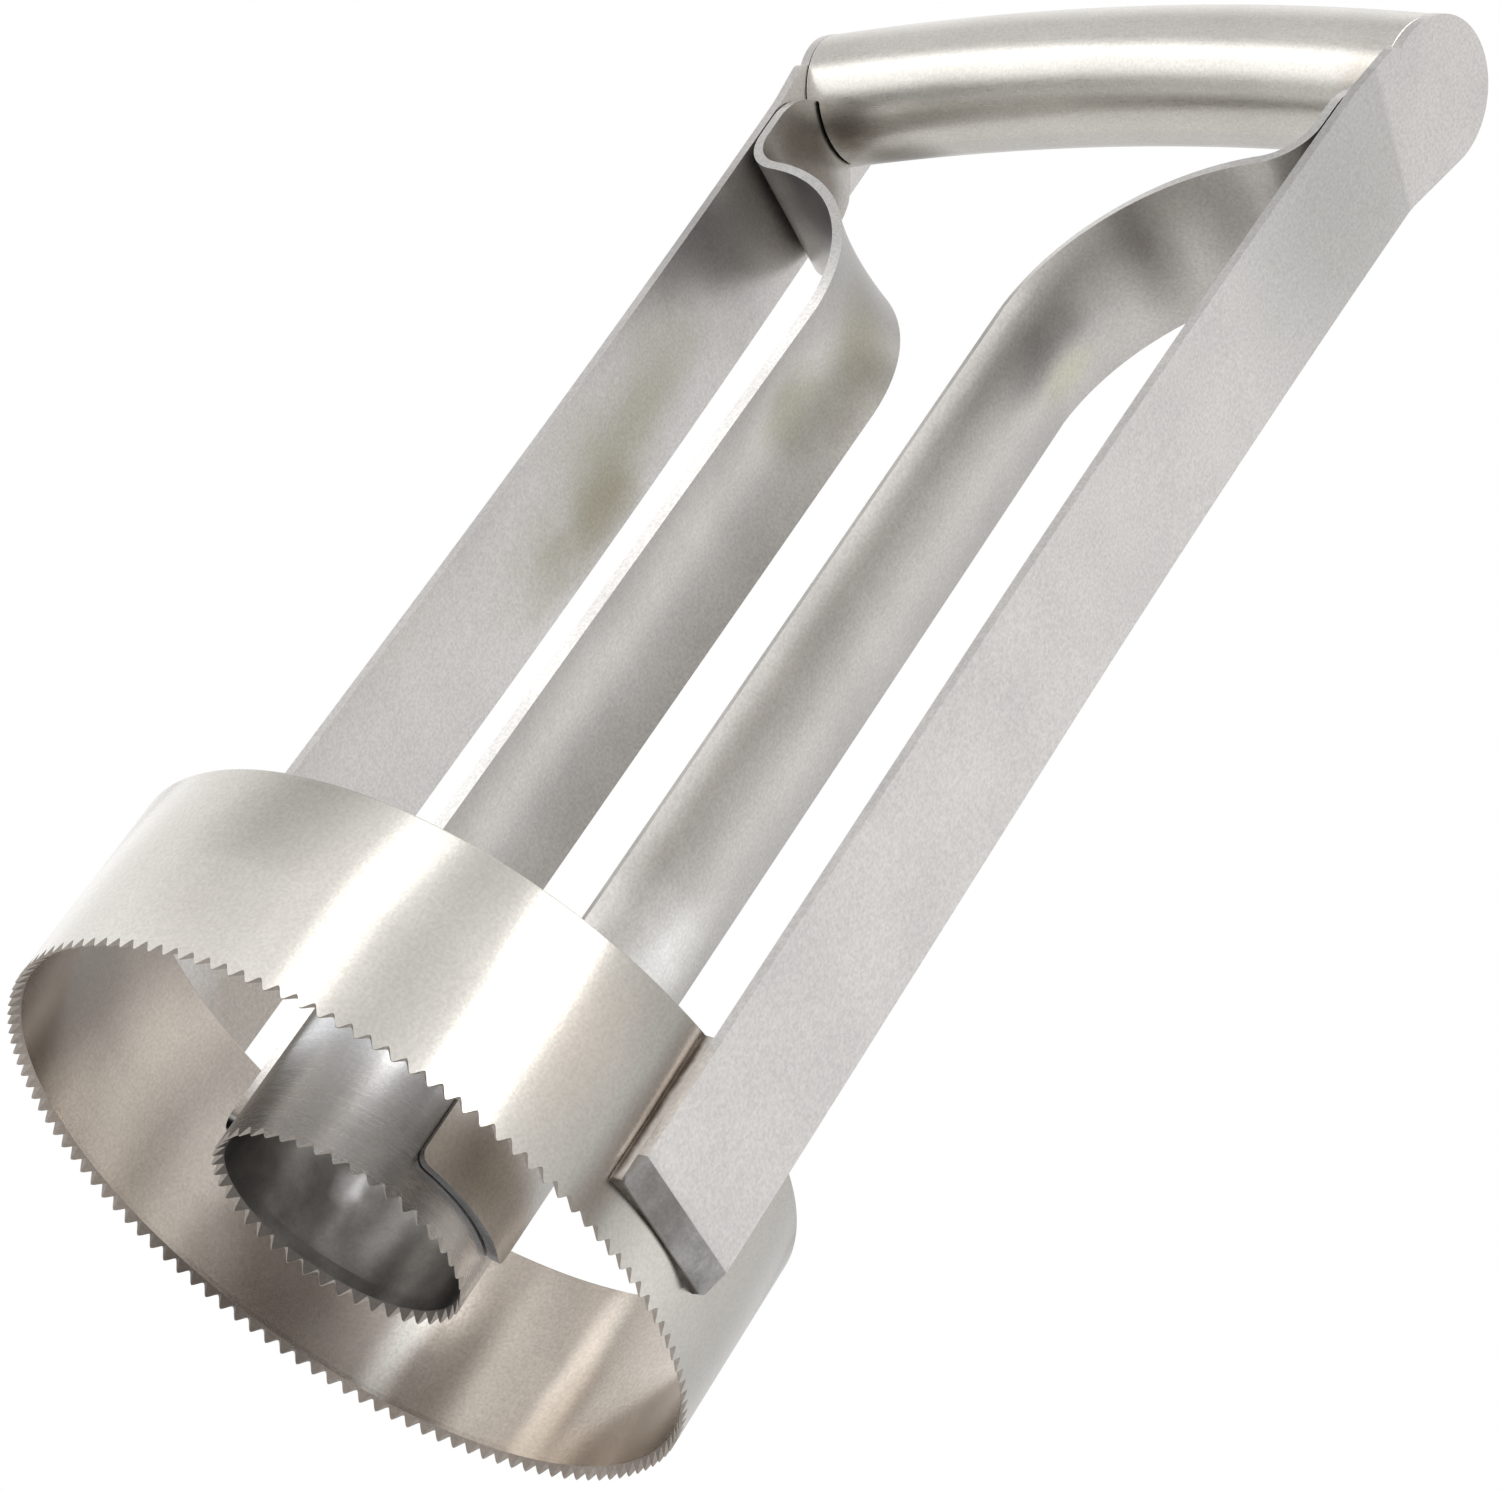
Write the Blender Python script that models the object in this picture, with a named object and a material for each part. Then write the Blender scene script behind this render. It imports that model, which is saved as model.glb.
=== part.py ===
"""Pineapple slicer: two toothed rings on flat straps that rise to one arched tube handle.

Metres, +Z up along the rings' common axis, X along the handle, Y front to back.
The lowest tooth tips touch Z = 0.
"""

from math import acos, asin, atan, cos, hypot, pi, radians, sin, tan

import bmesh
import bpy

# Driving dimensions, in metres
strap_width = 0.0198
strap_thickness = 0.0014
weld_clearance = 0.0003       # left between any two pieces that are welded face to face

ring_radius_x = 0.0435        # outside of the cutting ring, between the straps that pinch it
ring_radius_y = 0.0465        # outside of the cutting ring, front to back
ring_wall = 0.0010
ring_height = 0.0265          # tooth tips to top edge
ring_tooth_pitch = 0.00228
ring_lift = 0.0010            # the core ring's teeth reach this much lower than these

core_radius = 0.0165          # outside of the core ring
core_wall = 0.0009
core_height = 0.0265
core_tooth_pitch = 0.00236

tooth_depth = 0.00125
edge_grind = 0.0007           # height of the slope ground on the inside of both toothed rims

hand_rise = 0.0217            # top of the inner straps' bends to the middle of the tube's centre line
handle_arch_radius = 0.3000   # bend of the tube's centre line
handle_overhang = 0.0026      # the centre of the tube's end is this much outside the cutting ring
handle_radius = 0.0094
handle_wall = 0.0012

disc_margin = 0.0008          # the strap's round end is this much larger than the tube
disc_set_back = 0.0009        # the disc sits this much behind the strap's centre line
disc_to_fold = 0.0019         # lowest point of the disc to the fold under it
neck_rise = 0.0092            # fold to the notch where the front edge meets the disc
neck_turn = 0.0016            # the front edge turns in to the notch over this height

foot_rise = 0.0061            # ring's tooth tips to the outer strap's lower end
foot_bevel = 0.0037           # height of the slope ground on that end
foot_edge = 0.0003            # thickness left at the tip of that slope
foot_corner = 0.0006          # rounding of that end's corners
lap_height = 0.0800           # flat stretch of the outer strap, from its lower end up

inner_foot = 0.0054           # height of the inner strap's lower end
inner_corner = 0.0022         # rounding of that end's corners
trough_fade_height = 0.0200   # the trough eases off over this height above the core ring
shoulder_height = 0.1450      # where the inner strap starts to bend outwards
shoulder_radius = 0.0290      # first bend, at the middle of the sheet
knee_radius = 0.0070          # second bend, back up along the outer strap
tongue_overlap = 0.0035       # the inner strap's round end covers this much of the tube's end

# Angles, in radians, shares and counts
shoulder_slope = radians(14)  # rise of the stretch between the two bends
trough_mid_share = 0.8        # how much of the trough is left between the core ring and the bend
corner_shares = (0.0, 0.25, 0.6, 1.0)
flare_steps = 12
bend_steps = 8
fade_steps = 3
straight_steps = 5
width_steps = 6
round_steps = 12
tube_steps = 24
tube_sides = 32               # round the part of the tube that reaches the disc
notch_sides = 8
settle_rounds = 12

# Places worked out from the driving dimensions
ring_teeth = round(pi * (ring_radius_x + ring_radius_y) / ring_tooth_pitch)
core_teeth = round(2 * pi * core_radius / core_tooth_pitch)
half_width = strap_width / 2
half_thickness = strap_thickness / 2
handle_half_span = ring_radius_x + handle_overhang
handle_crown = shoulder_height + shoulder_radius + knee_radius + hand_rise
disc_radius = handle_radius + disc_margin
bore_radius = handle_radius - handle_wall
end_tilt = asin(handle_half_span / handle_arch_radius)
tube_end_height = handle_crown - handle_arch_radius * (1 - cos(end_tilt))
disc_stack = 2 * weld_clearance + strap_thickness
disc_height = tube_end_height - disc_stack * sin(end_tilt)
fold_height = disc_height - (disc_radius + disc_to_fold) * cos(end_tilt)
lap_face = ring_radius_x + weld_clearance
lap_bottom = ring_lift + foot_rise
lap_top = lap_bottom + lap_height
inner_radius = core_radius + weld_clearance + half_thickness
tongue_centre = tube_end_height - handle_radius + tongue_overlap - half_width
tongue_drop = handle_radius - tongue_overlap + half_width
tongue_room = half_width + weld_clearance
notch_turn = acos(
    (tongue_drop**2 + handle_radius**2 - tongue_room**2) / (2 * tongue_drop * handle_radius)
)


def disc_face(height):
    """X of the disc's inner face, parallel to the tube's notched end across the inner strap."""
    return (
        handle_half_span
        + disc_stack * cos(end_tilt)
        + (height - disc_height) * tan(end_tilt)
    )


flare = disc_face(fold_height) - lap_face


def strap_face(height):
    """X of the outer strap's inner face: flat on the ring, flaring to the fold, then the disc."""
    if height >= fold_height:
        return disc_face(height)
    share = max(0.0, (height - lap_top) / (fold_height - lap_top))
    return lap_face + flare * share**2


def strap_slope(height):
    """How fast that face moves outwards with height."""
    if height >= fold_height:
        return tan(end_tilt)
    return 2 * flare * max(0.0, height - lap_top) / (fold_height - lap_top) ** 2


def make_material(name, colour, roughness):
    material = bpy.data.materials.new(name)
    material.use_nodes = True
    shader = material.node_tree.nodes["Principled BSDF"]
    shader.inputs["Base Color"].default_value = (*colour, 1.0)
    shader.inputs["Metallic"].default_value = 1.0
    shader.inputs["Roughness"].default_value = roughness
    return material


def make_object(name, bm, material):
    """A closed mesh object, round faces smooth and edges over 30 degrees sharp."""
    bmesh.ops.recalc_face_normals(bm, faces=bm.faces)
    mesh = bpy.data.meshes.new(name)
    bm.to_mesh(mesh)
    bm.free()
    mesh.shade_smooth()
    mesh.set_sharp_from_angle(angle=radians(30))
    mesh.materials.append(material)
    obj = bpy.data.objects.new(name, mesh)
    bpy.context.scene.collection.objects.link(obj)
    return obj


def skin(bm, loops, closed):
    """Faces between each loop of vertices and the next, and back to the first if closed."""
    pairs = list(zip(loops, loops[1:]))
    if closed:
        pairs.append((loops[-1], loops[0]))
    for low, high in pairs:
        for i in range(len(low)):
            j = (i + 1) % len(low)
            bm.faces.new((low[i], low[j], high[j], high[i]))


def toothed_ring(name, radius_x, radius_y, wall, base, height, teeth, material):
    """A thin ring with V teeth along its lower edge, ground to an edge from the inside."""
    count = 2 * teeth

    def loop(bm, inset, low, teeth_depth):
        made = []
        for i in range(count):
            angle = 2 * pi * i / count
            x = (radius_x - inset) * cos(angle)
            y = (radius_y - inset) * sin(angle)
            made.append(bm.verts.new((x, y, low + teeth_depth * (i % 2))))
        return made

    bm = bmesh.new()
    outer = [loop(bm, 0.0, base, tooth_depth), loop(bm, 0.0, base + height, 0.0)]
    inner = [loop(bm, wall, base + height, 0.0), loop(bm, wall, base + edge_grind, tooth_depth)]
    skin(bm, outer + inner, closed=True)
    return make_object(name, bm, material)


def sheet_solid(name, sections, side, material):
    """A bent strip of sheet from cross-sections, each a row of (inner, outer) points.

    side is 1 for the strap at +X and -1 for its mirror image.
    """
    bm = bmesh.new()
    loops = []
    for section in sections:
        around = [inner for inner, outer in section]
        around += [outer for inner, outer in reversed(section)]
        loops.append([bm.verts.new((side * x, y, z)) for x, y, z in around])
    skin(bm, loops, closed=False)
    for loop in (loops[0], loops[-1]):
        for i in range(len(loop) // 2 - 1):
            bm.faces.new((loop[i], loop[i + 1], loop[-2 - i], loop[-1 - i]))
    return make_object(name, bm, material)


def rounded_foot(bottom, corner):
    """(height, half width) up the rounded corners of a strap's lower end."""
    rows = []
    for share in corner_shares:
        turn = share * pi / 2
        rows.append((bottom + corner * (1 - cos(turn)), half_width - corner * (1 - sin(turn))))
    return rows


def disc_rows():
    """(distance above the fold, front y, back y) up the disc; its back edge leaves on a tangent."""
    centre = disc_radius + disc_to_fold
    overhang = half_width - disc_set_back
    tangent_turn = atan(overhang / centre) + acos(disc_radius / hypot(overhang, centre))
    tangent_rise = centre - disc_radius * cos(tangent_turn)
    tangent_back = disc_set_back + disc_radius * sin(tangent_turn)
    neck_end = acos((centre - neck_rise) / disc_radius)
    last_turn = pi - pi / (2 * round_steps)
    rows = []
    for i in range(round_steps + 1):
        turn = neck_end + (last_turn - neck_end) * i / round_steps
        rise = centre - disc_radius * cos(turn)
        front = disc_set_back - disc_radius * sin(turn)
        back = disc_set_back + disc_radius * sin(turn)
        if rise < tangent_rise:
            back = half_width + (tangent_back - half_width) * rise / tangent_rise
        rows.append((rise, front, back))
    tangent_front = disc_set_back - disc_radius * sin(tangent_turn)
    rows.append((tangent_rise, tangent_front, tangent_back))
    straight_rise = neck_rise - neck_turn
    straight_share = straight_rise / tangent_rise
    straight_back = half_width + (tangent_back - half_width) * straight_share
    rows.append((straight_rise, -half_width, straight_back))
    return [(0.0, -half_width, half_width)] + sorted(rows)


def outer_strap(name, side, material):
    """The lapped foot, the flat stretch on the ring, the flare, the fold and the disc."""
    rows = [(height, -half, half) for height, half in rounded_foot(lap_bottom, foot_corner)]
    for height in (lap_bottom + foot_bevel, lap_top):
        rows.append((height, -half_width, half_width))
    for i in range(1, flare_steps):
        height = lap_top + (fold_height - lap_top) * i / flare_steps
        rows.append((height, -half_width, half_width))
    for rise, front, back in disc_rows():
        rows.append((fold_height + rise * cos(end_tilt), front, back))
    sections = []
    for height, front, back in rows:
        bevel_share = min(1.0, (height - lap_bottom) / foot_bevel)
        thickness = foot_edge + (strap_thickness - foot_edge) * bevel_share
        tilt = atan(strap_slope(height))
        x = strap_face(height)
        outer_x = x + thickness * cos(tilt)
        outer_z = height - thickness * sin(tilt)
        sections.append([((x, y, height), (outer_x, y, outer_z)) for y in (front, back)])
    return sheet_solid(name, sections, side, material)


def beside_strap(height):
    """(x, z, tilt) of the inner strap's mid-surface where it lies along the outer strap."""
    tilt = atan(strap_slope(height))
    offset = weld_clearance + half_thickness
    return strap_face(height) - offset * cos(tilt), height + offset * sin(tilt), tilt


def shoulder_path():
    """(x, z, tilt) along both bends, and the height where the second one meets the outer strap."""
    bend_x = inner_radius + shoulder_radius
    meet = shoulder_height + shoulder_radius
    # The straight between the bends is as long as the second bend needs to end on the strap.
    # Where the room is too narrow for that slope, the sheet turns less and has no straight.
    for _ in range(settle_rounds):
        x, z, end = beside_strap(meet)
        narrow_turn = acos((bend_x + knee_radius * cos(end) - x) / (shoulder_radius + knee_radius))
        turn = min(pi / 2 - shoulder_slope, narrow_turn)
        start_x = bend_x - shoulder_radius * cos(turn)
        start_z = shoulder_height + shoulder_radius * sin(turn)
        run = (x - start_x + knee_radius * (cos(turn) - cos(end))) / sin(turn)
        end_z = start_z + run * cos(turn) + knee_radius * (sin(turn) - sin(end))
        meet += end_z - z
    knee_x = start_x + run * sin(turn) - knee_radius * cos(turn)
    knee_z = start_z + run * cos(turn) + knee_radius * sin(turn)
    points = []
    for i in range(bend_steps + 1):
        bend = turn * i / bend_steps
        x = bend_x - shoulder_radius * cos(bend)
        points.append((x, shoulder_height + shoulder_radius * sin(bend), bend))
    for i in range(bend_steps + 1):
        bend = turn + (end - turn) * i / bend_steps
        points.append((knee_x + knee_radius * cos(bend), knee_z - knee_radius * sin(bend), bend))
    return points, meet


def trough_section(x, z, tilt, half, curve):
    """(inner, outer) points across the sheet, its edges drawn towards the rings' axis."""
    section = []
    for i in range(width_steps + 1):
        along = half * (2 * i / width_steps - 1)
        turn = along * curve
        y = sin(turn) / curve if curve else along
        sag = (1 - cos(turn)) / curve if curve else 0.0
        pair = []
        for offset in (-half_thickness, half_thickness):
            out = offset * cos(turn) - sag
            pair.append((x + out * cos(tilt), y + offset * sin(turn), z - out * sin(tilt)))
        section.append(tuple(pair))
    return section


def inner_strap(name, side, material):
    """Trough-shaped on the core ring, bent out over a shoulder, then up inside the outer strap."""
    trough = 1 / inner_radius
    rows = []
    for height, half in rounded_foot(inner_foot, inner_corner):
        rows.append((inner_radius, height, 0.0, half, trough))
    for i in range(fade_steps + 1):
        height = core_height + trough_fade_height * i / fade_steps
        share = 1 - (1 - trough_mid_share) * i / fade_steps
        rows.append((inner_radius, height, 0.0, half_width, trough * share))
    fade_top = core_height + trough_fade_height
    for i in range(1, straight_steps):
        height = fade_top + (shoulder_height - fade_top) * i / straight_steps
        rows.append((inner_radius, height, 0.0, half_width, trough * trough_mid_share))
    path, meet = shoulder_path()
    for i, (x, z, tilt) in enumerate(path):
        share = trough_mid_share * max(0.0, 1 - i / bend_steps)
        rows.append((x, z, tilt, half_width, trough * share))
    rise = tongue_centre - meet
    heights = [(meet + rise * i / fade_steps, half_width) for i in range(1, fade_steps + 1)]
    for i in range(1, round_steps):
        turn = pi / 2 * i / round_steps
        heights.append((tongue_centre + half_width * sin(turn), half_width * cos(turn)))
    for height, half in heights:
        rows.append((*beside_strap(height), half, 0.0))
    return sheet_solid(name, [trough_section(*row) for row in rows], side, material)


def tube_place(bend, along, radius, angle):
    """A point of the tube: bend along its arch, then straight on, and angle round it from the top."""
    out = handle_arch_radius + radius * cos(angle)
    x = out * sin(bend) + along * cos(bend)
    z = handle_crown - handle_arch_radius + out * cos(bend) - along * sin(bend)
    return x, radius * sin(angle), z


def handle_tube(name, material):
    """The arched tube, open at both ends, which reach the discs and are notched for the tongues."""
    reach = pi - notch_turn
    kept = [reach * (2 * i / tube_sides - 1) for i in range(tube_sides + 1)]
    notch = [reach + 2 * notch_turn * i / notch_sides for i in range(1, notch_sides)]

    def loop(bm, bend, radius):
        return [bm.verts.new(tube_place(bend, 0.0, radius, angle)) for angle in kept + notch]

    bm = bmesh.new()
    bends = [end_tilt * (2 * i / tube_steps - 1) for i in range(tube_steps + 1)]
    outer = [loop(bm, bend, handle_radius) for bend in bends]
    inner = [loop(bm, bend, bore_radius) for bend in bends]
    skin(bm, outer, closed=False)
    skin(bm, inner, closed=False)
    for side, outside, inside in ((-1, outer[0], inner[0]), (1, outer[-1], inner[-1])):
        # the part of the end that the tongue leaves free runs on to the disc
        stretch = side * (strap_thickness + weld_clearance)
        bend = side * end_tilt
        end_outside = [bm.verts.new(tube_place(bend, stretch, handle_radius, angle)) for angle in kept]
        end_inside = [bm.verts.new(tube_place(bend, stretch, bore_radius, angle)) for angle in kept]
        last = len(kept) - 1
        for i in range(last):
            bm.faces.new((outside[i], outside[i + 1], end_outside[i + 1], end_outside[i]))
            bm.faces.new((inside[i], inside[i + 1], end_inside[i + 1], end_inside[i]))
            bm.faces.new((end_outside[i], end_outside[i + 1], end_inside[i + 1], end_inside[i]))
        for i in (0, last):
            bm.faces.new((outside[i], end_outside[i], end_inside[i], inside[i]))
        for i in range(last, len(outside)):
            j = (i + 1) % len(outside)
            bm.faces.new((outside[i], outside[j], inside[j], inside[i]))
    return make_object(name, bm, material)


for leftover in list(bpy.data.objects):
    bpy.data.objects.remove(leftover)

toothed_ring(
    "outer_ring", ring_radius_x, ring_radius_y, ring_wall, ring_lift, ring_height, ring_teeth,
    make_material("ring_steel", (0.61, 0.59, 0.55), 0.32),
)
toothed_ring(
    "core_ring", core_radius, core_radius, core_wall, 0.0, core_height, core_teeth,
    make_material("core_steel", (0.42, 0.41, 0.39), 0.35),
)
for side_name, side in (("left", -1), ("right", 1)):
    outer_steel = make_material(f"outer_strap_{side_name}_steel", (0.60, 0.59, 0.57), 0.38)
    inner_steel = make_material(f"inner_strap_{side_name}_steel", (0.53, 0.52, 0.49), 0.36)
    outer_strap(f"outer_strap_{side_name}", side, outer_steel)
    inner_strap(f"inner_strap_{side_name}", side, inner_steel)
handle_tube("handle_tube", make_material("handle_steel", (0.60, 0.58, 0.54), 0.30))
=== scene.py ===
# Pineapple slicer: brushed stainless rings, straps and tube handle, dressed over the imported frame
from math import acos, asin, atan, atan2, cos, degrees, hypot, pi, radians, sin, sqrt, tan

import bmesh
import bpy
from mathutils import Matrix, Vector


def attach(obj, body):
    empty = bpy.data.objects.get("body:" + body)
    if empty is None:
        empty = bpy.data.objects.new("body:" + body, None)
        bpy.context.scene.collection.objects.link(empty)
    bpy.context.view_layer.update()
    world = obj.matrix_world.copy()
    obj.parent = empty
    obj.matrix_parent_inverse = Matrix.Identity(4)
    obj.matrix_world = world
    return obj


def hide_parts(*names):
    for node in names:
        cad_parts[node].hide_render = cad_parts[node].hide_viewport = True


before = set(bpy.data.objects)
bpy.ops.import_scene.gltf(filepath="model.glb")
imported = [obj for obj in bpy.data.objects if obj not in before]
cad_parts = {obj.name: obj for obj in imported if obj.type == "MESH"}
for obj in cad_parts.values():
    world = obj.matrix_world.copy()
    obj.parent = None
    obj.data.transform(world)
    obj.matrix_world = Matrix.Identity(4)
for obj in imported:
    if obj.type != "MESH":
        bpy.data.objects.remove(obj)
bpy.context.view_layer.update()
mm = 0.001
print("frame loaded")


sides = {"Left": -1, "Right": 1}  # which way each side lies along X


# Helpers for meshes and materials

def hexColour(code):
    channels = [int(code[i:i + 2], 16) / 255 for i in (1, 3, 5)]
    return [c / 12.92 if c <= 0.04045 else ((c + 0.055) / 1.055) ** 2.4 for c in channels] + [1.0]


def addNode(tree, kind, inputs=None, **settings):
    node = tree.nodes.new(kind)
    for name, value in settings.items():
        setattr(node, name, value)
    for name, value in (inputs or {}).items():
        if isinstance(value, bpy.types.NodeSocket):
            tree.links.new(value, node.inputs[name])
        else:
            node.inputs[name].default_value = value
    return node


def newMaterial(name):
    material = bpy.data.materials.new(name)
    material.use_nodes = True
    material.node_tree.nodes.clear()
    return material, material.node_tree


def meshFrom(bm, name):
    mesh = bpy.data.meshes.new(name)
    bm.to_mesh(mesh)
    bm.free()
    return mesh


def putInScene(name, data):
    thing = bpy.data.objects.new(name, data)
    bpy.context.scene.collection.objects.link(thing)
    return thing


def extrudeRow(bm, edges, numbers, row):
    # each new point takes the number of the one it grew from, and with it its place from the row
    grown = bmesh.ops.extrude_edge_only(bm, edges=edges)["geom"]
    fresh = {}
    for v in grown:
        if isinstance(v, bmesh.types.BMVert):
            source = next(e.other_vert(v) for e in v.link_edges if e.other_vert(v) in numbers)
            fresh[v] = numbers[source]
            v.co = row[fresh[v]]
    edges = [e for e in grown if isinstance(e, bmesh.types.BMEdge) and set(e.verts) <= fresh.keys()]
    return edges, fresh


def unwrapped(value, start, girth):
    # round a closed girth, no face's map reaches from the end back to the start
    return value - girth * round((value - start) / girth) if girth else value


def finishPiece(name, bm, materials, nodeName, grainRule, girths=(0.0, 0.0)):
    # the piece's own "grain" map: U runs along the brushing and V across it, both in metres
    bmesh.ops.recalc_face_normals(bm, faces=bm.faces)
    grain = bm.loops.layers.uv.new("grain")
    for face in bm.faces:
        spots = [grainRule(loop.vert.co) for loop in face.loops]
        for loop, spot in zip(face.loops, spots):
            loop[grain].uv = [unwrapped(*values) for values in zip(spot, spots[0], girths)]
    mesh = meshFrom(bm, name)
    mesh.shade_smooth()
    for material in materials:
        mesh.materials.append(material)
    piece = putInScene(name, mesh)
    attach(piece, "root")
    if nodeName:
        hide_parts(nodeName)
    return piece


edgeRound = {"segments": 3, "fromAngle": 35}  # gentler steps, as in a bend, aren't rounded


def roundEdges(piece, width):
    bevel = piece.modifiers.new("roundedEdges", "BEVEL")
    bevel.width = width
    bevel.segments = edgeRound["segments"]
    bevel.limit_method = "ANGLE"
    bevel.angle_limit = radians(edgeRound["fromAngle"])
    bevel.harden_normals = True
    bevel.miter_outer = "MITER_ARC"


# Brushed stainless steel sheet, 1.4301: a belt-brushed satin that smears reflections across the
# brushing and keeps them crisp along it, with a fine sparkle and faint cloudy patches

# a noise stays mostly near 0.5, so only the middle of its range is spread out
noiseRange = {"From Min": 0.3, "From Max": 0.7}
cloudRange = {"From Min": 0.35, "From Max": 0.65}
# a patch's distance is 0 at its middle and 1 at its reach, and the noise adds about 0.6 to that
markRim = {"raggedness": 1.2, "full": 0.7, "gone": 1.6}


def addMarkOrPaintedLight(tree, tone, place, ragged, markOrLight):
    # a patch of heat tint, or of painted shade, painted shadow or painted highlight: full at its middle,
    # gone at its reach, with a ragged rim
    middle = [v * mm for v in markOrLight["at"]]
    reach = [v * mm for v in markOrLight["reach"]]
    offset = addNode(tree, "ShaderNodeVectorMath", {0: place, 1: middle}, operation="SUBTRACT")
    scaled = addNode(tree, "ShaderNodeVectorMath", {
        0: offset.outputs["Vector"], 1: reach,
    }, operation="DIVIDE")
    distance = addNode(tree, "ShaderNodeVectorMath", {0: scaled.outputs["Vector"]}, operation="LENGTH")
    uneven = addNode(tree, "ShaderNodeMath", {
        0: ragged, 1: markRim["raggedness"], 2: distance.outputs["Value"],
    }, operation="MULTIPLY_ADD")
    share = addNode(tree, "ShaderNodeMapRange", {
        "Value": uneven.outputs["Value"], "From Min": markRim["full"], "From Max": markRim["gone"],
        "To Min": markOrLight["share"], "To Max": 0.0,
    }, interpolation_type="SMOOTHSTEP")
    return addNode(tree, "ShaderNodeMix", {
        "Factor": share.outputs["Result"], "A": tone, "B": hexColour(markOrLight["colour"]),
    }, data_type="RGBA").outputs["Result"]


def addPaintedShade(tree, tone, place, shade):
    # painted shade: a darker stretch that starts sharply at a bend and fades away from it
    middle = [v * mm for v in shade["at"]]
    offset = addNode(tree, "ShaderNodeVectorMath", {0: place, 1: middle}, operation="SUBTRACT")
    away = addNode(tree, "ShaderNodeVectorMath", {
        0: offset.outputs["Vector"], 1: shade["towards"],
    }, operation="DOT_PRODUCT").outputs["Value"]
    start = addNode(tree, "ShaderNodeMapRange", {
        "Value": away, "From Min": 0.0, "From Max": shade["start"] * mm,
        "To Min": 0.0, "To Max": shade["share"],
    }, interpolation_type="SMOOTHSTEP")
    fade = addNode(tree, "ShaderNodeMapRange", {
        "Value": away, "From Min": 0.0, "From Max": shade["fade"] * mm, "To Min": 1.0, "To Max": 0.0,
    }, interpolation_type="SMOOTHSTEP")
    share = addNode(tree, "ShaderNodeMath", {
        0: start.outputs["Result"], 1: fade.outputs["Result"],
    }, operation="MULTIPLY")
    return addNode(tree, "ShaderNodeMix", {
        "Factor": share.outputs["Value"], "A": tone, "B": hexColour(shade["colour"]),
    }, data_type="RGBA").outputs["Result"]


def brushedStainless(name, finish):
    material, tree = newMaterial(name)
    grainMap = addNode(tree, "ShaderNodeUVMap", uv_map="grain")
    hairline = addNode(tree, "ShaderNodeMapping", {
        "Vector": grainMap.outputs["UV"],
        "Scale": (1 / finish["hairLength"], 1 / finish["hairWidth"], 1),
    })
    hair = addNode(tree, "ShaderNodeTexNoise", {
        "Vector": hairline.outputs["Vector"], "Scale": 1.0, "Detail": 2.0,
    }, noise_dimensions="2D")
    place = addNode(tree, "ShaderNodeTexCoord").outputs["Object"]
    sparkle = addNode(tree, "ShaderNodeTexNoise", {
        "Vector": place, "Scale": 1 / finish["sparkleSize"], "Detail": 2.0,
    })
    cloud = addNode(tree, "ShaderNodeTexNoise", {
        "Vector": place, "Scale": 1 / finish["cloudSize"], "Detail": 3.0,
    })
    cloudShare = addNode(tree, "ShaderNodeMapRange", {
        "Value": cloud.outputs["Fac"], **cloudRange,
    })
    tone = addNode(tree, "ShaderNodeMix", {
        "Factor": cloudShare.outputs["Result"],
        "A": hexColour(finish["colour"]), "B": hexColour(finish["cloudColour"]),
    }, data_type="RGBA").outputs["Result"]
    for markOrLight in finish.get("marksAndPaintedLight", ()):
        tone = addMarkOrPaintedLight(tree, tone, place, cloud.outputs["Fac"], markOrLight)
    for shade in finish.get("paintedShades", ()):
        tone = addPaintedShade(tree, tone, place, shade)
    glint = addNode(tree, "ShaderNodeMapRange", {
        "Value": sparkle.outputs["Fac"], "To Min": 1 - finish["grain"],
        "To Max": 1 + finish["grain"], **noiseRange,
    })
    tone = addNode(tree, "ShaderNodeHueSaturation", {
        "Value": glint.outputs["Result"], "Color": tone,
    }).outputs["Color"]
    spread = finish["roughnessSpread"]
    roughness = addNode(tree, "ShaderNodeMapRange", {
        "Value": hair.outputs["Fac"], "To Min": finish["roughness"] - spread,
        "To Max": finish["roughness"] + spread, **noiseRange,
    })
    hairBump = addNode(tree, "ShaderNodeBump", {
        "Height": hair.outputs["Fac"], "Strength": 1.0, "Distance": finish["hairDepth"],
    })
    sparkleBump = addNode(tree, "ShaderNodeBump", {
        "Height": sparkle.outputs["Fac"], "Strength": 1.0, "Distance": finish["sparkleDepth"],
        "Normal": hairBump.outputs["Normal"],
    })
    along = addNode(tree, "ShaderNodeTangent", direction_type="UV_MAP", uv_map="grain")
    steel = addNode(tree, "ShaderNodeBsdfPrincipled", {
        "Base Color": tone, "Metallic": 1.0, "Roughness": roughness.outputs["Result"],
        "Anisotropic": finish["anisotropy"], "Anisotropic Rotation": 0.25,  # smears across the brushing
        "Tangent": along.outputs["Tangent"], "Normal": sparkleBump.outputs["Normal"],
    })
    addNode(tree, "ShaderNodeOutputMaterial", {"Surface": steel.outputs["BSDF"]})
    return material
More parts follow.
